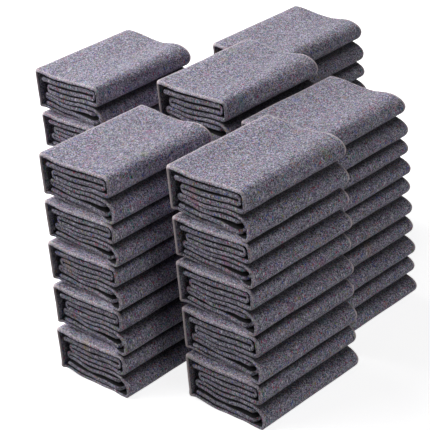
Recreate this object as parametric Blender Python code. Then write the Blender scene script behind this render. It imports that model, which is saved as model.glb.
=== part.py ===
"""Thirty folded felt moving blankets, piled in six columns of five.

Each blanket is one cut piece of felt. It is folded in four along Y to a strip, and the strip is
folded back and forth over X into eight layers: both ends turn in to the middle and turn back on
themselves, then the two halves close like a book over the spine at low X. The strip's middle line
and its near edge follow the tables below, and one closed solid is swept along them.
"""
from collections import namedtuple
import math

import bmesh
import bpy
import numpy as np

MM = 0.001

# One blanket, in millimetres: X from the spine to the rounded folds, Y along the strip's width,
# Z up from the plane that the blanket rests on.
STRIP_WIDTH = 343.0        # a 54 in side folded in four
PITCH = 116.0              # from a blanket's resting plane to the next one's, for the table below
REST_GAP = 0.3             # air between two blankets of a column
FELT = 9.0                 # four plies of felt in a layer
PRESSED_FELT = 7.5         # the same plies under the blanket's weight
TAUT_FELT = 7.0            # the same plies pulled thin round an outer fold
TIGHT_FELT = 8.0           # and round an inner fold
FAR_END_SHARE = 0.2        # how uneven the far ends are, against the near ends
FLOOR_LINE = PRESSED_FELT / 2
TOP_LINE = PITCH - REST_GAP - FELT / 2

# A layer runs from a left to a right end through a middle station. x and z place its middle
# line, and setback says how far its near edge lies behind the foremost one: it reaches its middle
# value a third of the way along and holds it for a third. The layers inside the outer fold lie
# looser and swell.
Layer = namedtuple("Layer", "name x_left x_mid x_right z_left z_mid z_right "
                            "setback_left setback_mid setback_right felt steps")
LAYERS = (
    Layer("upper_tuck", 26, 95, 213, 98.5, 95.0, 98.0, 2, 4, 3, 12.0, 3),
    Layer("upper_inner", 46, 105, 213, 80.5, 77.0, 81.5, 8, 7, 3, 11.0, 3),
    Layer("upper_outer", 46, 105, 224, 65.5, 61.8, 68.0, 9, 8, 1, 10.5, 3),
    Layer("top", 15, 83, 219, 118.0, TOP_LINE, TOP_LINE, 0, 0, 0, FELT, 6),
    Layer("bottom", 18, 86, 224, 23.5, FLOOR_LINE, FLOOR_LINE, 5, 24, 2, PRESSED_FELT, 6),
    Layer("lower_outer", 31, 105, 198, 55.5, 48.0, 54.5, 11, 10, 3, FELT, 3),
    Layer("lower_inner", 31, 105, 206, 44.0, 35.0, 39.5, 13, 12, 6, 10.0, 3),
    Layer("lower_tuck", 24, 90, 203, 33.0, 20.8, 14.6, 8, 14, 9, 11.0, 3),
)
DEEPEST_SETBACK = max(layer.setback_mid for layer in LAYERS)

# The fold that leads from one layer to the next one in the list above. reach is where the middle
# line turns, in x, and setback is how far back the near edge lies there. squareness 2 is a round
# fold and more is a squarer one, at the fold's start and end. draw_in hollows the fold's middle.
Fold = namedtuple("Fold", "name reach setback squareness_start squareness_end draw_in felt steps")
FOLDS = (
    Fold("upper_inner_turn", 221.0, 4, 2.2, 2.2, 0.0, TIGHT_FELT, 4),
    Fold("upper_crease", 37.5, 9, 2.4, 2.4, 0.0, TIGHT_FELT, 4),
    Fold("upper_lobe", 235.5, 0, 3.0, 3.4, 0.0, TAUT_FELT, 6),
    Fold("spine", 3.5, 0, 7.0, 5.0, 2.5, TAUT_FELT, 7),
    Fold("lower_lobe", 239.5, 0, 3.0, 1.9, 0.0, TAUT_FELT, 6),
    Fold("lower_crease", 21.5, 12, 2.2, 2.2, 0.0, TIGHT_FELT, 4),
    Fold("lower_inner_turn", 217.0, 18, 2.2, 2.2, 0.0, TIGHT_FELT, 4),
)

# What differs in a blanket on the floor: its own weight lets the spine's lower corner sag, and the
# bottom layer's near edge runs straighter.
FLOOR_LAYERS = {
    "bottom": {"z_left": 14.0, "setback_mid": 7},
    "lower_outer": {"z_left": 53.5, "z_mid": 47.0},
    "lower_inner": {"z_left": 41.0, "z_mid": 33.0},
    "lower_tuck": {"z_left": 28.5, "z_mid": 17.0},
}

# What differs at the strip's far end, where the felt lies looser: the top layer sinks between the
# spine and the lobes, and the lobes are rounder and reach further.
FAR_LAYERS = {
    "upper_tuck": {"x_right": 204, "z_mid": 92.5, "z_right": 95.0},
    "upper_inner": {"x_right": 204, "z_mid": 76.0, "z_right": 79.0},
    "upper_outer": {"x_right": 212, "z_right": 66.0},
    "top": {"x_mid": 135, "x_right": 196, "z_mid": TOP_LINE - 5.5},
    "bottom": {"x_mid": 82, "x_right": 212},
    "lower_outer": {"x_right": 190, "z_right": 53.0},
}
FAR_FOLDS = {
    "upper_inner_turn": {"reach": 215.0},
    "upper_lobe": {"reach": 239.0, "squareness_start": 1.9, "squareness_end": 1.8},
    "lower_lobe": {"reach": 242.5, "squareness_start": 2.1, "squareness_end": 1.7},
}

# Where each column stands: its blankets' spine side and near end, in millimetres from the
# near right column's. height is how high its blankets lie against the heights below, and lean is
# how far each one is shifted from the one under it.
Column = namedtuple("Column", "name x y height lean_x lean_y")
COLUMNS = (
    Column("near_right", 0, 0, 1.038, 0.7, 1.7),
    Column("far_right", -112, 373, 0.943, -0.8, 0.1),
    Column("near_left", -358, -83, 0.996, 2.9, 4.0),
    Column("middle", -378, 357, 1.039, 0.0, 0.0),
    Column("far_left", -759, 284, 1.007, 0.4, 0.4),
    Column("rear", -522, 706, 0.963, 0.0, 0.0),
)

# The blankets of a column, from the floor up: from one's resting plane to the next one's, and how
# far each lies from true.
Level = namedtuple("Level", "number pitch shift_x shift_y")
LEVELS = (
    Level(1, 116.0, 0.0, 0.0),
    Level(2, 119.5, 1.2, 0.8),
    Level(3, 115.0, -0.6, -0.4),
    Level(4, 109.0, 0.8, 0.6),
    Level(5, 121.0, -0.8, -0.5),
)

FELT_COLOUR = (0.150, 0.147, 0.168, 1.0)
FELT_ROUGHNESS = 0.95


def clear_scene():
    """Start from an empty scene."""
    for item in list(bpy.data.objects):
        bpy.data.objects.remove(item, do_unlink=True)


def ease(share):
    """A share from 0 to 1 that starts and ends level."""
    share = np.clip(share, 0.0, 1.0)
    return share * share * (3.0 - 2.0 * share)


def layer_points(layer, leftwards):
    """Stations (x, z, setback, felt) along one layer, with level ends."""
    x = np.linspace(layer.x_left, layer.x_right, layer.steps + 1)
    near = ease((x - layer.x_left) / (layer.x_mid - layer.x_left))
    far = ease((x - layer.x_mid) / (layer.x_right - layer.x_mid))
    z = layer.z_left + (layer.z_mid - layer.z_left) * near + (layer.z_right - layer.z_mid) * far
    third = (layer.x_right - layer.x_left) / 3
    setback = (layer.setback_left
               + (layer.setback_mid - layer.setback_left) * ease((x - layer.x_left) / third)
               + (layer.setback_right - layer.setback_mid) * ease((x - layer.x_right) / third + 1))
    points = np.stack([x, z, setback, np.full_like(x, layer.felt)], axis=1)
    return points[::-1] if leftwards else points


def fold_points(fold, start, end):
    """Stations between two layers' ends, on a half superellipse that reaches out to fold.reach."""
    angle = np.linspace(-math.pi / 2, math.pi / 2, fold.steps + 1)[1:-1]
    opening = angle < 0.0
    power = 2.0 / np.where(opening, fold.squareness_start, fold.squareness_end)
    rise = np.sign(angle) * np.abs(np.sin(angle)) ** power
    share = (rise + 1.0) / 2.0
    out = np.cos(angle) ** power
    outward = math.copysign(1.0, fold.reach - start[0])
    x = start[0] + (end[0] - start[0]) * share
    x = x + (fold.reach - x) * out - outward * fold.draw_in * np.cos(angle) ** 2
    z = start[1] + (end[1] - start[1]) * share
    setback = np.where(opening, start[2], end[2])
    setback = setback + (fold.setback - setback) * out
    felt = np.where(opening, start[3], end[3])
    felt = felt + (fold.felt - felt) * np.cos(angle)
    return np.stack([x, z, setback, felt], axis=1)


def changed(rows, changes):
    """The same table with some named values changed in some rows."""
    return [row._replace(**changes.get(row.name, {})) for row in rows]


def strip_path(layers, folds):
    """All stations of the strip, from one tucked end to the other."""
    rows = [layer_points(layer, leftwards=bool(index % 2)) for index, layer in enumerate(layers)]
    path = [rows[0]]
    for fold, before, after in zip(folds, rows, rows[1:]):
        path.append(fold_points(fold, before[-1], after[0]))
        path.append(after)
    return np.concatenate(path)


def strip_sides(path):
    """The strip's two faces in X and Z, half a thickness to each side of the path, mitred."""
    run = np.diff(path[:, :2], axis=0)
    run /= np.linalg.norm(run, axis=1)[:, None]
    across = np.stack([-run[:, 1], run[:, 0]], axis=1)
    mitre = across[:-1] + across[1:]
    mitre /= np.linalg.norm(mitre, axis=1)[:, None]
    mitre /= np.sum(mitre * across[1:], axis=1)[:, None]
    normal = np.concatenate([across[:1], mitre, across[-1:]])
    half = path[:, 3:] / 2
    return path[:, :2] + normal * half, path[:, :2] - normal * half


def build_blanket_mesh(name, height_share, layers):
    """Sweep the strip's four corners along its near and far paths into one closed solid."""
    near_path = strip_path(layers, FOLDS)
    far_path = strip_path(changed(layers, FAR_LAYERS), changed(FOLDS, FAR_FOLDS))
    near_y = near_path[:, 2]
    far_y = STRIP_WIDTH - FAR_END_SHARE * (DEEPEST_SETBACK - near_y)
    corners = []
    for path, y, side in ((near_path, near_y, 0), (far_path, far_y, 0),
                          (far_path, far_y, 1), (near_path, near_y, 1)):
        face = strip_sides(path)[side]
        corners.append(np.stack([face[:, 0], y, face[:, 1] * height_share], axis=1) * MM)
    mesh = bpy.data.meshes.new(name)
    shape = bmesh.new()
    rings = [[shape.verts.new(corner) for corner in station] for station in zip(*corners)]
    for ring, following in zip(rings, rings[1:]):
        for side in range(4):
            after = (side + 1) % 4
            shape.faces.new((ring[side], ring[after], following[after], following[side]))
    shape.faces.new(rings[0][::-1])
    shape.faces.new(rings[-1])
    bmesh.ops.recalc_face_normals(shape, faces=shape.faces)
    shape.to_mesh(mesh)
    shape.free()
    mesh.shade_smooth()
    mesh.set_sharp_from_angle(angle=math.radians(50))
    return mesh


def felt_material():
    """Grey recycled felt: matt, with no metal."""
    material = bpy.data.materials.new("recycled_felt")
    material.use_nodes = True
    shader = material.node_tree.nodes["Principled BSDF"]
    shader.inputs["Base Color"].default_value = FELT_COLOUR
    shader.inputs["Roughness"].default_value = FELT_ROUGHNESS
    shader.inputs["Metallic"].default_value = 0.0
    return material


def blanket_place(column, level):
    """Where one blanket's spine side and near end lie in plan, in metres."""
    steps = level.number - 1
    return np.array([column.x + steps * column.lean_x + level.shift_x,
                     column.y + steps * column.lean_y + level.shift_y]) * MM


def pile_centre(mesh):
    """The middle of the whole pile's plan, in metres."""
    corners = np.array([vertex.co[:2] for vertex in mesh.vertices])
    places = np.array([blanket_place(column, level) for column in COLUMNS for level in LEVELS])
    low = corners.min(axis=0) + places.min(axis=0)
    high = corners.max(axis=0) + places.max(axis=0)
    return (low + high) / 2


def add_blankets(material):
    """One object for each blanket, level upon level in each column."""
    centre_x, centre_y = pile_centre(build_blanket_mesh("folded_blanket", 1.0, LAYERS))
    floor_layers = changed(LAYERS, FLOOR_LAYERS)
    for column in COLUMNS:
        base = 0.0
        for level in LEVELS:
            name = f"blanket_{column.name}_{level.number}"
            pitch = level.pitch * column.height
            height_share = (pitch - REST_GAP) / (PITCH - REST_GAP)
            mesh = build_blanket_mesh(name, height_share, floor_layers if base == 0.0 else LAYERS)
            mesh.materials.append(material)
            blanket = bpy.data.objects.new(name, mesh)
            x, y = blanket_place(column, level)
            blanket.location = (x - centre_x, y - centre_y, base * MM)
            bpy.context.scene.collection.objects.link(blanket)
            base += pitch


def main():
    clear_scene()
    add_blankets(felt_material())


main()
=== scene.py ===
import math

import bpy
import numpy as np
from mathutils import Matrix, Vector


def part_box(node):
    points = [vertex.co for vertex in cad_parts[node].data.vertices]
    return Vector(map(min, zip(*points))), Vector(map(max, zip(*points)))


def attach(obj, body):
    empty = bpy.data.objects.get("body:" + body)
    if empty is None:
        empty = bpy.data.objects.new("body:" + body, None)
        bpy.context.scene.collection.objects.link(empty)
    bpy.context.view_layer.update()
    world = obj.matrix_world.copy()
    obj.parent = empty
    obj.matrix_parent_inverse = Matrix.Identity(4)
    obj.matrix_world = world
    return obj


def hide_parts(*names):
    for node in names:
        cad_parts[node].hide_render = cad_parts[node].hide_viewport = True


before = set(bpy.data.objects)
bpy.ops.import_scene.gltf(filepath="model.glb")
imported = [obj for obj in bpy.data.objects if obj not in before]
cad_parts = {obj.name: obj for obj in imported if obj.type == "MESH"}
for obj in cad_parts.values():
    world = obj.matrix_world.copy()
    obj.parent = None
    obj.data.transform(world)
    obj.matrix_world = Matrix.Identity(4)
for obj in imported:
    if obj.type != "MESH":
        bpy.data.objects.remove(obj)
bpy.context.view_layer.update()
mm = 0.001
scene = bpy.context.scene
columnNames = ("near_right", "far_right", "near_left", "middle", "far_left", "rear")
levels = 5


def linear(hexColour, alpha=1.0):
    # sRGB hex to the linear values that shaders take
    parts = [int(hexColour[i:i + 2], 16) / 255 for i in (1, 3, 5)]
    return (*[p / 12.92 if p <= 0.04045 else ((p + 0.055) / 1.055) ** 2.4 for p in parts], alpha)


def ease(value, start, end):
    # 3 s^2 - 2 s^3 of the share s of the way from start to end: level at both
    share = np.clip((value - start) / (end - start), 0.0, 1.0)
    return share * share * (3.0 - 2.0 * share)


# camera: where it stands, from the near right column's spine-side near foot
camera = {
    "place": (2.636, -2.407, 2.186),   # metres
    "yaw": 45.88,                      # degrees from +Y towards -X
    "down": 25.63,                     # degrees below level
    "roll": -5.90,                     # degrees
    "focal": 1764.0,                   # pixels, in a frame 430 pixels wide
    "frame": 430,
    "sensor": 36.0,                    # millimetres
    "sight": 50.0,                     # metres, past which nothing is drawn
}


def addCamera(settings, foot):
    yaw, down, roll = (math.radians(settings[key]) for key in ("yaw", "down", "roll"))
    ahead = Vector((-math.sin(yaw) * math.cos(down), math.cos(yaw) * math.cos(down), -math.sin(down)))
    level = Vector((math.cos(yaw), math.sin(yaw), 0.0))
    upright = level.cross(ahead)
    right = level * math.cos(roll) + upright * math.sin(roll)
    up = upright * math.cos(roll) - level * math.sin(roll)
    data = bpy.data.cameras.new("productCamera")
    data.sensor_fit = "HORIZONTAL"
    data.sensor_width = settings["sensor"]
    data.lens = settings["focal"] * settings["sensor"] / settings["frame"]
    data.clip_end = settings["sight"]
    made = bpy.data.objects.new("productCamera", data)
    turned = Matrix((right, up, -ahead)).transposed().to_4x4()
    made.matrix_world = Matrix.Translation(foot + Vector(settings["place"])) @ turned
    scene.collection.objects.link(made)
    scene.camera = made


# one folded blanket, in millimetres: x from the taut spine to the rounded folds, y along the
# strip's width from its near end, z up from the plane that it rests on
blanket = {
    "width": 343.0,          # a 54 in side folded in four
    "tautFelt": 7.0,         # pulled thin round an outer fold
    "tightFelt": 8.0,        # and round an inner one
    "spineFace": 2.10,       # least x of the felt
    "topFace": 122.54,       # greatest z of the felt
    "farEndShare": 0.2,      # how uneven the far ends are, against the near ends
    "deepestSetback": 24.0,
    # in a blanket on the floor, where the spine's corner sags: z at left and middle, and setback
    "floorLayers": {
        "bottom": ((14.0, 3.75), (5, 7, 2)),
        "lowerOuter": ((53.5, 47.0), (11, 9, 3)),
        "lowerInner": ((41.0, 32.0), (12, 9, 4)),
        "lowerTuck": ((27.5, 15.3), (6, 8, 5)),
    },
    "layerSteps": 16,
    "foldSteps": 14,
    "tipSteps": 4,           # over which the felt thins at both ends of the strip
    "tipTurn": 10.0,         # degrees of the rounding where a tip starts, with a small flat end
    # name, x of the middle line at left, middle, right, its z there, the near edge's setback and
    # the felt's thickness
    "layers": (
        ("upperTuck", (26, 95, 213), (98.5, 95.0, 98.0), (2, 4, 3), 12.0),
        ("upperInner", (46, 105, 213), (80.5, 77.0, 81.5), (8, 7, 3), 11.0),
        ("upperOuter", (46, 105, 224), (65.5, 61.8, 68.0), (9, 8, 1), 10.5),
        ("top", (15, 83, 219), (118.0, 111.2, 111.2), (0, 0, 0), 9.0),
        ("bottom", (18, 86, 224), (23.5, 3.75, 3.75), (5, 24, 2), 7.5),
        ("lowerOuter", (31, 105, 198), (55.5, 48.0, 54.5), (11, 10, 3), 9.0),
        ("lowerInner", (31, 105, 206), (44.0, 35.0, 39.5), (13, 12, 6), 10.0),
        ("lowerTuck", (24, 90, 203), (33.0, 20.8, 14.6), (8, 14, 9), 11.0),
    ),
    # name, x that the middle line turns at, setback there, squareness at start and end
    # (2 is round), how far its middle is drawn in, and its felt
    "folds": (
        ("upperInnerTurn", 221.0, 4, 2.2, 2.2, 0.0, "tightFelt"),
        ("upperCrease", 37.5, 9, 2.4, 2.4, 0.0, "tightFelt"),
        ("upperLobe", 235.5, 0, 3.0, 3.4, 0.0, "tautFelt"),
        ("spine", 3.5, 0, 7.0, 9.0, 2.5, "tautFelt"),
        ("lowerLobe", 239.5, 0, 3.0, 1.9, 0.0, "tautFelt"),
        ("lowerCrease", 21.5, 12, 2.2, 2.2, 0.0, "tightFelt"),
        ("lowerInnerTurn", 217.0, 18, 2.2, 2.2, 0.0, "tightFelt"),
    ),
    # what differs at the far end, where the felt lies looser
    "farLayers": {
        "upperTuck": ((26, 95, 204), (98.5, 92.5, 95.0)),
        "upperInner": ((46, 105, 204), (80.5, 76.0, 79.0)),
        "upperOuter": ((46, 105, 212), (65.5, 61.8, 66.0)),
        "top": ((15, 135, 196), (118.0, 105.7, 111.2)),
        "bottom": ((18, 82, 212), (23.5, 3.75, 3.75)),
        "lowerOuter": ((31, 105, 190), (55.5, 48.0, 53.0)),
    },
    "farFolds": {
        "upperInnerTurn": (215.0, 2.2, 2.2),
        "upperLobe": (239.0, 1.9, 1.8),
        "lowerLobe": (242.5, 2.1, 1.7),
    },
}


def layerStations(settings, across, heights, setbacks, thick, leftwards, outer):
    # x runs evenly; z eases from the left value to the middle one and on to the right, and the
    # setback reaches its middle value a third of the way along and holds it for a third; the last
    # column says whether the layer lies on the blanket's outside
    left, middle, right = across
    x = np.linspace(left, right, settings["layerSteps"] + 1)
    z = heights[0] + (heights[1] - heights[0]) * ease(x, left, middle)
    z = z + (heights[2] - heights[1]) * ease(x, middle, right)
    third = (right - left) / 3.0
    setback = setbacks[0] + (setbacks[1] - setbacks[0]) * ease(x, left, left + third)
    setback = setback + (setbacks[2] - setbacks[1]) * ease(x, right - third, right)
    rows = np.stack([x, z, setback, np.full_like(x, thick), np.full_like(x, outer)], axis=1)
    return rows[::-1] if leftwards else rows


def foldStations(settings, fold, start, end):
    # half a superellipse between two layers' ends: out = cos^(2/n), rise = sin^(2/n)
    reach, setbackOut, squareStart, squareEnd, drawIn, kind = fold[1:]
    angle = np.linspace(-math.pi / 2, math.pi / 2, settings["foldSteps"] + 1)[1:-1]
    firstHalf = angle < 0.0
    power = 2.0 / np.where(firstHalf, squareStart, squareEnd)
    share = (np.sign(angle) * np.abs(np.sin(angle)) ** power + 1.0) / 2.0
    out = np.cos(angle) ** power
    outward = math.copysign(1.0, reach - start[0])
    x = start[0] + (end[0] - start[0]) * share
    x = x + (reach - x) * out - outward * drawIn * np.cos(angle) ** 2
    z = start[1] + (end[1] - start[1]) * share
    setback, thick, outer = (np.where(firstHalf, start[i], end[i]) for i in (2, 3, 4))
    setback = setback + (setbackOut - setback) * out
    thick = thick + (settings[kind] - thick) * np.cos(angle)
    if kind == "tautFelt":
        outer = outer + (1.0 - outer) * out
    return np.stack([x, z, setback, thick, outer], axis=1)


def stripStations(settings, far, onFloor):
    # layers and folds in turn, from one tucked end to the other
    rows = []
    for index, (name, across, heights, setbacks, thick) in enumerate(settings["layers"]):
        if far and name in settings["farLayers"]:
            across, heights = settings["farLayers"][name]
        if onFloor and name in settings["floorLayers"]:
            lowered, setbacks = settings["floorLayers"][name]
            heights = (*lowered, heights[2])
        leftwards = bool(index % 2)
        outer = float(name in ("top", "bottom"))
        rows.append(layerStations(settings, across, heights, setbacks, thick, leftwards, outer))
    path = [rows[0]]
    for fold, before, after in zip(settings["folds"], rows, rows[1:]):
        if far and fold[0] in settings["farFolds"]:
            reach, squareStart, squareEnd = settings["farFolds"][fold[0]]
            fold = (fold[0], reach, fold[2], squareStart, squareEnd, *fold[5:])
        path += [foldStations(settings, fold, before[-1], after[0]), after]
    return np.concatenate(path)


def roundedEnds(settings, path):
    # the felt thins to a rounded tip over its own half thickness at both ends of the strip: it is
    # sin(turn) of its thickness at 1 - cos(turn) of that way in
    steps = settings["tipSteps"]
    turn = np.radians(np.linspace(settings["tipTurn"], 90.0, steps + 1))[:-1]
    tips = []
    full = []
    for end, inner in ((path[0], path[1]), (path[-1], path[-2])):
        inward = (inner[:2] - end[:2]) / np.linalg.norm(inner[:2] - end[:2])
        tip = np.repeat(end[None], steps, axis=0)
        tip[:, :2] += inward * (end[3] / 2 * (1.0 - np.cos(turn)))[:, None]
        tip[:, 3] *= np.sin(turn)
        tips.append(tip)
        whole = end.copy()
        whole[:2] += inward * end[3] / 2
        full.append(whole[None])
    return np.concatenate([tips[0], full[0], path[1:-1], full[1], tips[1][::-1]])


def normals(path):
    # across the path: its direction turned a quarter to the left
    run = np.gradient(path[:, :2], axis=0)
    run /= np.linalg.norm(run, axis=1)[:, None]
    return np.stack([-run[:, 1], run[:, 0]], axis=1)


def softWaves(rng, along, over, lengths, count=5):
    # the mean of some cosine waves, each with its own slant, length and phase
    total = np.zeros(np.broadcast(along, over).shape)
    for _ in range(count):
        slant = rng.uniform(0.0, 2.0 * math.pi)
        length = rng.uniform(*lengths)
        phase = rng.uniform(0.0, 2.0 * math.pi)
        way = along * math.cos(slant) + over * math.sin(slant)
        total += np.cos(way * 2.0 * math.pi / length + phase)
    return total / count


# the strip's cross-section, walked from the near rim along one face, round the far rim and back;
# places across the felt are -1 on its outer face and 1 on its inner one
section = {
    "faceSteps": 20,
    "lastStep": 0.987,     # share of the width where the last step along a face starts
    "nearSteps": 8,
    "farSteps": 12,
    "nearRim": 2.2,        # depth of the inner layers' folded near rims, mm
    "outerNearRim": 6.0,   # and of the outer ones', which slant
    "slantPeak": 0.85,     # share of the felt, from its outer face, where these stand out furthest
    "slantFrom": (12.0, 32.0),    # z where the slant starts and where it is full
    "farRim": 3.4,         # depth of the far rim, where a fold and two cut plies show
    "rimPower": 0.6,       # of the cosine that a rim follows: under 1 is squarer than round
    "plyGroove": 0.55,     # depth of the grooves between the plies, as a share of the far rim
    "grooves": ((0.0, 1.0), (-0.55, 0.8)),    # where they are across the felt, and how deep
    "grooveWidth": 0.12,
}


def sectionShape(settings):
    # side is the place across the felt, share runs from the near rim to the far one, nearOut and
    # farOut are how far each rim stands out there
    faces = np.append(np.linspace(0.0, settings["lastStep"], settings["faceSteps"]), 1.0)
    farTurn = np.linspace(-math.pi / 2, math.pi / 2, settings["farSteps"] + 1)[1:-1]
    nearTurn = np.linspace(math.pi / 2, -math.pi / 2, settings["nearSteps"] + 1)[1:-1]
    level, farLevel, nearLevel = (np.zeros_like(part) for part in (faces, farTurn, nearTurn))
    side = np.concatenate([level - 1.0, np.sin(farTurn), level + 1.0, np.sin(nearTurn)])
    share = np.concatenate([faces, farLevel + 1.0, faces[::-1], nearLevel])
    groove = farLevel
    for middle, deep in settings["grooves"]:
        groove = groove + deep * np.exp(-((np.sin(farTurn) - middle) / settings["grooveWidth"]) ** 2)
    farOut = np.cos(farTurn) ** settings["rimPower"] * (1.0 - settings["plyGroove"] * groove)
    farOut = np.concatenate([level, farOut, level, nearLevel])
    nearOut = np.cos(nearTurn) ** settings["rimPower"]
    nearOut = np.concatenate([level, farLevel, level, nearOut])
    return side, share, nearOut, farOut


def slantedRims(settings, z, outer, side, nearOut):
    # an outer layer's near rim slants, but for the bottom one's, and stands out furthest close to
    # its inner face; the second result is how deep each rim is
    inward = (side + 1.0) / 2.0
    peak = settings["slantPeak"]
    slant = np.sin(math.pi / 2 * np.clip(inward / peak, 0.0, 1.0))
    slant = slant * np.sqrt(np.clip((1.0 - inward) / (1.0 - peak), 0.0, 1.0)) * (nearOut > 0.0)
    slanted = outer * ease(z, *settings["slantFrom"])
    depth = settings["nearRim"] + (settings["outerNearRim"] - settings["nearRim"]) * slanted
    return nearOut + (slant - nearOut) * slanted, depth


# how far the felt of each blanket strays from the even form, in millimetres
strays = {
    "free": 1.1,           # the top of a column, and the outer folds
    "between": 0.35,       # layers that lie on each other
    "lying": (50.0, 205.0),    # x between which they do
    "topFrom": 104.0,      # least z of the top layer
    "blend": 13,           # stations over which one amount gives way to the other
    "rim": 1.6,            # along the near and far rims
    "felt": 0.06,          # share of the felt's thickness
    "waves": (70.0, 260.0),
    "rimWaves": (30.0, 110.0),
}


def strayAmounts(settings, x, z, onTop):
    # free on the top layer of a column and past the layers' ends, smoothed along the strip
    lying = (x > settings["lying"][0]) & (x < settings["lying"][1])
    held = lying if not onTop else lying & (z <= settings["topFrom"])
    amounts = np.where(held, settings["between"], settings["free"])
    blend = settings["blend"]
    return np.convolve(np.pad(amounts, blend // 2, mode="edge"), np.ones(blend) / blend, mode="valid")


# where highlights are painted on the felt and where shade is painted where less light gets to it, as
# shares; a pair of places, in the blanket's millimetres, is where a change starts and where it is full
paintedLightAndShade = {
    "nearRim": 0.4,              # how strong the painted highlight on the outer corner of an outer layer's near rim is
    "nearRimAt": (-0.5, 0.6),    # its middle across the felt, and how wide it is
    "spineRim": (16.0, 8.0),     # x where the painted highlight gets full, on the spine
    "farRim": 0.4,               # how strong the painted highlight on the far rim's outer corner is at the spine
    "farRimFull": (190.0, 225.0),    # x where that highlight gets full, on the lobes
    "innerRim": 0.12,            # how strong the inner layers' painted rim highlights are, against the outer ones'
    "corner": 0.6,               # how strong the painted highlight on the hard corner over the spine is
    "cornerAt": (6.0, 5.0),      # its middle x and how wide it is
    "cornerFrom": 108.0,         # and its least z
    "lobes": 60.0,               # z that parts the lower lobe from the upper one
    "lowerCrease": (43.0, 57.0),     # z where painted shade darkens the upper slope of the lower lobe
    "upperCrease": (98.0, 113.0),    # and of the upper one, under another blanket
    "creaseFrom": (200.0, 225.0),    # x where they do
    "nearRimLight": 0.8,         # power that narrows the painted dark line between two near rims
    "farRimLight": (1.5, 1.5),   # how much a far rim's light is raised, and the power that narrows it
    "spineLight": 0.55,          # how much more light the inside of the spine gets, which stands open
    "spineInside": (20.0, 10.0),     # x where it does
}


def paintedRimHighlights(settings, x, z, outer, side, share, nearRim):
    # painted highlights on the outer corners of the rims and on the hard corner over the spine, where
    # the felt's fuzz catches light
    outerFace = side < 0.0
    middle, width = settings["nearRimAt"]
    spine = ease(x, *settings["spineRim"])
    near = settings["nearRim"] * np.exp(-((side - middle) / width) ** 2) * (1.0 - spine) + spine
    far = settings["farRim"] + (1.0 - settings["farRim"]) * ease(x, *settings["farRimFull"])
    far = far * ease(share, section["lastStep"], 1.0) * outerFace
    inner = settings["innerRim"]
    rims = np.maximum(near * nearRim, far) * (inner + (1.0 - inner) * outer)
    middle, width = settings["cornerAt"]
    corner = np.exp(-((x - middle) / width) ** 2) * (z > settings["cornerFrom"]) * outerFace
    return np.maximum(rims, settings["corner"] * corner)


def shutAway(settings, across, up, outer, side, nearOut, farOut, onTop):
    # light reaches the outside of the outer layers and the rims, less of it the upper slope of a
    # lobe under another one, and hardly any gets between the layers
    upper = 0.0 if onTop else ease(up, *settings["upperCrease"])
    creased = np.where(up < settings["lobes"], ease(up, *settings["lowerCrease"]), upper)
    creased = creased * ease(across, *settings["creaseFrom"])
    # 1 from the outer face to a third of the way to the felt's inner face, 0 past two thirds
    outside = np.clip(0.5 - 1.5 * side, 0.0, 1.0)
    raised, power = settings["farRimLight"]
    rims = np.maximum(nearOut ** settings["nearRimLight"], np.clip(raised * farOut, 0.0, 1.0) ** power)
    shut = 1.0 - np.maximum(outer * outside * (1.0 - creased), rims)
    return shut * (1.0 - settings["spineLight"] * ease(across, *settings["spineInside"]))


def blanketPoints(settings, rng, onTop, onFloor):
    # a station's middle point goes from the near path to the far one with y; from there the
    # section's side goes out along the path's normal by half the felt, and its rims along y
    paths = [stripStations(settings, isFar, onFloor) for isFar in (False, True)]
    near, far = (roundedEnds(settings, path) for path in paths)
    nearNormal, farNormal = normals(near), normals(far)
    x, z, setback, thick, outer = near.T[:, :, None]
    run = np.linalg.norm(np.diff(near[:, :2], axis=0), axis=1)
    along = np.append(0.0, np.cumsum(run))[:, None]
    side, share, nearOut, farOut = sectionShape(section)
    nearRim = nearOut > 0.0
    nearOut, rimDepth = slantedRims(section, z, outer, side, nearOut)
    start = np.maximum(setback + strays["rim"] * softWaves(rng, along, 0.0, strays["rimWaves"]), 0.0)
    end = settings["width"] - settings["farEndShare"] * (settings["deepestSetback"] - setback)
    end = end - strays["rim"] * (0.5 + 0.5 * softWaves(rng, along, 0.0, strays["rimWaves"]))
    start = start + rimDepth
    end = end - section["farRim"]
    y = start + (end - start) * share - rimDepth * nearOut + section["farRim"] * farOut
    blend = np.clip(y / settings["width"], 0.0, 1.0)[..., None]
    middle = near[:, None, :2] + (far - near)[:, None, :2] * blend
    normal = nearNormal[:, None] + (farNormal - nearNormal)[:, None] * blend
    normal /= np.linalg.norm(normal, axis=2)[..., None]
    amounts = strayAmounts(strays, near[:, 0], near[:, 1], onTop)[:, None]
    stray = amounts * softWaves(rng, along, y, strays["waves"])
    half = thick / 2 * (1.0 + strays["felt"] * softWaves(rng, along, y, strays["waves"]))
    place = middle + normal * (side * half + stray)[..., None]
    across, up = place[..., 0], place[..., 1]
    points = np.stack([across, y, np.maximum(up, 0.0)], axis=2)
    # painted highlights on the rims and painted shade where little light gets in, both kept as
    # attributes for the felt's colour
    rims = paintedRimHighlights(paintedLightAndShade, x, z, outer, side, share, nearRim)
    shut = shutAway(paintedLightAndShade, across, up, outer, side, nearOut, farOut, onTop)
    return points, {"rim": rims, "shut": shut}


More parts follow.
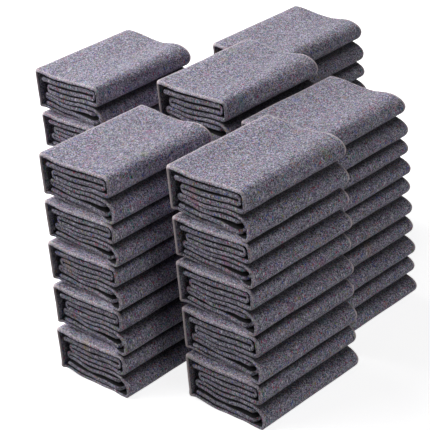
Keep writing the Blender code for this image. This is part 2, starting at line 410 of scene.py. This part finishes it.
def closedGrid(name, points, attributes, material):
    # stations are rings of points: quads join each ring to the next, and the first and last close
    stations, around = points.shape[:2]
    index = np.arange(stations * around).reshape(stations, around)
    after = np.roll(index, -1, axis=1)
    quads = np.stack([index[:-1], after[:-1], after[1:], index[1:]], axis=2).reshape(-1)
    loops = np.concatenate([quads, index[0][::-1], index[-1]])
    starts = np.concatenate([np.arange(0, len(quads), 4), [len(quads), len(quads) + around]])
    mesh = bpy.data.meshes.new(name)
    mesh.vertices.add(stations * around)
    mesh.vertices.foreach_set("co", points.reshape(-1).astype(np.float32))
    mesh.loops.add(len(loops))
    mesh.loops.foreach_set("vertex_index", loops.astype(np.int32))
    mesh.polygons.add(len(starts))
    mesh.polygons.foreach_set("loop_start", starts.astype(np.int32))
    mesh.update(calc_edges=True)
    mesh.validate()
    mesh.shade_smooth()
    for key, values in attributes.items():
        layer = mesh.attributes.new(key, "FLOAT", "POINT")
        layer.data.foreach_set("value", values.reshape(-1).astype(np.float32))
    mesh.materials.append(material)
    made = bpy.data.objects.new(name, mesh)
    scene.collection.objects.link(made)
    return made


# needle-punched felt of shredded rags: a matt mottled grey with lighter, darker and coloured
# threads; its fuzzy folds get painted highlights, and shade is painted between its layers
felt = {
    "grey": ("#2e2b36", "#777385", "#9894a6", "#d2cddf"),
    "greyStops": (0.45, 0.65, 0.85, 1.0),    # of the nap's height and the fleck's share, added up
    "fleck": 2.3,          # mm, clumps of fibre, drawn coarser than they are so that they show
    "fleckShare": 0.55,    # how much a fleck counts against the nap
    "tint": (0.8, 0.4),    # least share of each of a fleck's three colours, and its range
    "nap": 1.6,            # mm, the felt's raised surface
    "napDetail": 2.0,
    "patch": 26.0,         # mm, uneven carding
    "patchDetail": 3.0,
    "patchNoise": (0.3, 0.7),     # noise that gives the patches' least and greatest light
    "patchLight": (0.94, 1.06),
    "threads": ("#0d0b12", "#c02c4c", "#2f55c4", "#b8904e", "#a62f7c", "#2b9a94", "#f4f1f6", "#7fa04a"),
    # each set of coloured threads: mm from one to the next, how they are turned, the share of them
    # left out and how strong they show; the last is the soft smudges of rags of one colour
    "threadSets": (
        (5.0, (0.4, 0.9, 0.2), 0.62, 0.9),
        (5.0, (1.3, -0.3, 1.0), 0.62, 0.9),
        (42.0, (0.2, 0.5, 1.4), 0.86, 0.22),
    ),
    "threadDraw": (1.0, 1.0, 0.35),    # a share under 1 draws a thread out that way
    "threadEdge": (0.34, 0.24),    # distance from its middle where it starts and where it is full
    # the colour of the painted highlight on the rims, and how much of it shows
    "rimHighlight": "#ecdcdc",
    "rimShare": 0.85,
    "shutShade": 0.04,     # what is left of the felt's colour where hardly any light gets in
    "bump": 0.6,
    "bumpDepth": 0.9,      # mm
    "roughness": 0.95,
    "specular": 0.08,
    "sheen": 0.12,
    "sheenRoughness": 0.6,
}


def addNode(tree, kind, settings=(), links=()):
    # settings are (socket or property, value) and links are (socket, source socket)
    node = tree.nodes.new(kind)
    for key, value in settings:
        if isinstance(key, str) and hasattr(node, key):
            setattr(node, key, value)
        else:
            node.inputs[key].default_value = value
    for key, source in links:
        tree.links.new(node.inputs[key], source)
    return node


def setRamp(node, stops, mode="LINEAR"):
    ramp = node.color_ramp
    ramp.interpolation = mode
    while len(ramp.elements) > 1:
        ramp.elements.remove(ramp.elements[-1])
    ramp.elements[0].position, ramp.elements[0].color = stops[0]
    for position, colour in stops[1:]:
        ramp.elements.new(position).color = colour


def addThreads(tree, settings, place, colour, threadSet):
    # the long cells of a Voronoi pattern, each of one dye, over the colour that is given
    spacing, turn, leftOut, strength = threadSet
    laid = addNode(tree, "ShaderNodeMapping", [("Rotation", turn), ("Scale", settings["threadDraw"])],
                   [("Vector", place)])
    threads = addNode(tree, "ShaderNodeTexVoronoi", [("Scale", 1.0 / (spacing * mm))],
                      [("Vector", laid.outputs["Vector"])])
    pick = addNode(tree, "ShaderNodeSeparateColor", links=[("Color", threads.outputs["Color"])])
    start, full = settings["threadEdge"]
    near = addNode(tree, "ShaderNodeMapRange",
                   [("From Min", start), ("From Max", full), ("To Min", 0.0), ("To Max", strength)],
                   [("Value", threads.outputs["Distance"])])
    chosen = addNode(tree, "ShaderNodeMath", [("operation", "GREATER_THAN"), (1, leftOut)],
                     [(0, pick.outputs["Green"])])
    mask = addNode(tree, "ShaderNodeMath", [("operation", "MULTIPLY")],
                   [(0, near.outputs["Result"]), (1, chosen.outputs[0])])
    dyes = addNode(tree, "ShaderNodeValToRGB", links=[("Fac", pick.outputs["Blue"])])
    count = len(settings["threads"])
    setRamp(dyes, [(i / count, linear(dye)) for i, dye in enumerate(settings["threads"])], "CONSTANT")
    mixed = addNode(tree, "ShaderNodeMix", [("data_type", "RGBA")],
                    [(0, mask.outputs[0]), (6, colour), (7, dyes.outputs["Color"])])
    return mixed.outputs[2]


def feltMaterial(settings):
    material = bpy.data.materials.new("needlePunchedRagFelt")
    material.use_nodes = True
    tree = material.node_tree
    shader = tree.nodes["Principled BSDF"]
    place = addNode(tree, "ShaderNodeTexCoord").outputs["Object"]
    # a fleck's grey comes from its own random share and the height of the nap
    flecks = addNode(tree, "ShaderNodeTexVoronoi", [("Scale", 1.0 / (settings["fleck"] * mm))],
                     [("Vector", place)])
    fleck = addNode(tree, "ShaderNodeSeparateColor", links=[("Color", flecks.outputs["Color"])])
    nap = addNode(tree, "ShaderNodeTexNoise",
                  [("Scale", 1.0 / (settings["nap"] * mm)), ("Detail", settings["napDetail"])],
                  [("Vector", place)])
    tone = addNode(tree, "ShaderNodeMath",
                   [("operation", "MULTIPLY_ADD"), (1, settings["fleckShare"])],
                   [(0, fleck.outputs["Red"]), (2, nap.outputs["Fac"])])
    greys = addNode(tree, "ShaderNodeValToRGB", links=[("Fac", tone.outputs[0])])
    stops = zip(settings["greyStops"], settings["grey"])
    setRamp(greys, [(position, linear(grey)) for position, grey in stops])
    # each fleck leans a little to some colour, and patches are lighter or darker
    tint = addNode(tree, "ShaderNodeTexWhiteNoise", links=[("Vector", flecks.outputs["Position"])])
    least, spread = settings["tint"]
    lean = addNode(tree, "ShaderNodeVectorMath",
                   [("operation", "MULTIPLY_ADD"), (1, (spread,) * 3), (2, (least,) * 3)],
                   [(0, tint.outputs["Color"])])
    tinted = addNode(tree, "ShaderNodeVectorMath", [("operation", "MULTIPLY")],
                     [(0, greys.outputs["Color"]), (1, lean.outputs[0])])
    patches = addNode(tree, "ShaderNodeTexNoise",
                      [("Scale", 1.0 / (settings["patch"] * mm)), ("Detail", settings["patchDetail"])],
                      [("Vector", place)])
    (low, high), (dark, light) = settings["patchNoise"], settings["patchLight"]
    patch = addNode(tree, "ShaderNodeMapRange",
                    [("From Min", low), ("From Max", high), ("To Min", dark), ("To Max", light)],
                    [("Value", patches.outputs["Fac"])])
    colour = addNode(tree, "ShaderNodeVectorMath", [("operation", "SCALE")],
                     [(0, tinted.outputs[0]), ("Scale", patch.outputs["Result"])]).outputs[0]
    for threadSet in settings["threadSets"]:
        colour = addThreads(tree, settings, place, colour, threadSet)
    # painted highlights lift the rims, and painted shade dims the felt between the layers and in the
    # creases, by the mesh's attributes
    rim = addNode(tree, "ShaderNodeAttribute", [("attribute_name", "rim")])
    lift = addNode(tree, "ShaderNodeMath", [("operation", "MULTIPLY"), (1, settings["rimShare"])],
                   [(0, rim.outputs["Fac"])])
    lifted = addNode(tree, "ShaderNodeMix", [("data_type", "RGBA"), (7, linear(settings["rimHighlight"]))],
                     [(0, lift.outputs[0]), (6, colour)])
    shut = addNode(tree, "ShaderNodeAttribute", [("attribute_name", "shut")])
    dim = addNode(tree, "ShaderNodeMapRange", [("To Min", 1.0), ("To Max", settings["shutShade"])],
                  [("Value", shut.outputs["Fac"])])
    shaded = addNode(tree, "ShaderNodeVectorMath", [("operation", "SCALE")],
                     [(0, lifted.outputs[2]), ("Scale", dim.outputs["Result"])])
    tree.links.new(shader.inputs["Base Color"], shaded.outputs[0])
    bump = addNode(tree, "ShaderNodeBump",
                   [("Strength", settings["bump"]), ("Distance", settings["bumpDepth"] * mm)],
                   [("Height", tone.outputs[0])])
    tree.links.new(shader.inputs["Normal"], bump.outputs["Normal"])
    shader.inputs["Roughness"].default_value = settings["roughness"]
    shader.inputs["Specular IOR Level"].default_value = settings["specular"]
    shader.inputs["Sheen Weight"].default_value = settings["sheen"]
    shader.inputs["Sheen Roughness"].default_value = settings["sheenRoughness"]
    return material


def addBlankets(settings, material):
    for column, columnName in enumerate(columnNames):
        for level in range(1, levels + 1):
            node = f"blanket_{columnName}_{level}"
            low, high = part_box(node)
            place = np.array([low.x - settings["spineFace"] * mm, low.y, low.z])
            grow = np.array([mm, mm, (high.z - low.z) / settings["topFace"]])
            rng = np.random.default_rng(100 * column + level)    # a seed of its own for each
            points, attributes = blanketPoints(settings, rng, level == levels, level == 1)
            piece = closedGrid(f"felt_{node}", points * grow + place, attributes, material)
            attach(piece, "root")
            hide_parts(node)
    stations, around = points.shape[:2]
    print("blankets", len(columnNames) * levels, "about", 2 * stations * around, "triangles each")


studio = {
    "floor": "#cbcbcd",    # a matt pale sweep
    "floorSide": 30.0,     # metres
    "floorDrop": 0.0005,   # metres under the blankets' feet, so that they don't share a plane
    "floorRoughness": 0.9,
    "floorSpecular": 0.2,
    "floorGlow": 0.84,     # lit from behind, so that it shows nearly white
    "world": 0.12,
    "aim": (0.0, 0.0, 0.3),    # metres, the middle of the pile
    "lights": {
        "soft": {"place": (-3.4, -0.9, 3.6), "size": 4.8, "watts": 340.0},
        "front": {"place": (-1.2, -2.8, 4.0), "size": 1.6, "watts": 28.0},
        "side": {"place": (3.6, -1.0, 0.5), "size": 2.0, "watts": 30.0},
    },
}


def addFloor(settings):
    bpy.ops.mesh.primitive_plane_add(size=settings["floorSide"], location=(0, 0, -settings["floorDrop"]))
    floor = bpy.context.object
    floor.name = "studioFloor"
    material = bpy.data.materials.new("mattPaintedFloor")
    material.use_nodes = True
    shader = material.node_tree.nodes["Principled BSDF"]
    shader.inputs["Base Color"].default_value = linear(settings["floor"])
    shader.inputs["Roughness"].default_value = settings["floorRoughness"]
    shader.inputs["Specular IOR Level"].default_value = settings["floorSpecular"]
    shader.inputs["Emission Color"].default_value = linear("#ffffff")
    shader.inputs["Emission Strength"].default_value = settings["floorGlow"]
    floor.data.materials.append(material)
    floor.visible_diffuse = False    # a pale floor this large would light the walls from below


def addLights(settings):
    world = bpy.data.worlds.new("softStudio")
    world.use_nodes = True
    background = world.node_tree.nodes["Background"]
    background.inputs["Color"].default_value = linear("#ffffff")
    background.inputs["Strength"].default_value = settings["world"]
    scene.world = world
    for name, box in settings["lights"].items():
        light = bpy.data.lights.new(name + "Box", "AREA")
        light.shape = "SQUARE"
        light.size = box["size"]
        light.energy = box["watts"]
        made = bpy.data.objects.new(name + "Box", light)
        made.location = box["place"]
        aim = Vector(settings["aim"]) - Vector(box["place"])
        made.rotation_euler = aim.to_track_quat("-Z", "Y").to_euler()
        scene.collection.objects.link(made)


scene.view_settings.view_transform = "Standard"
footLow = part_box("blanket_near_right_1")[0]
addCamera(camera, Vector((footLow.x - blanket["spineFace"] * mm, footLow.y, 0.0)))
print("camera placed")
addFloor(studio)
addLights(studio)
print("studio lit")
addBlankets(blanket, feltMaterial(felt))
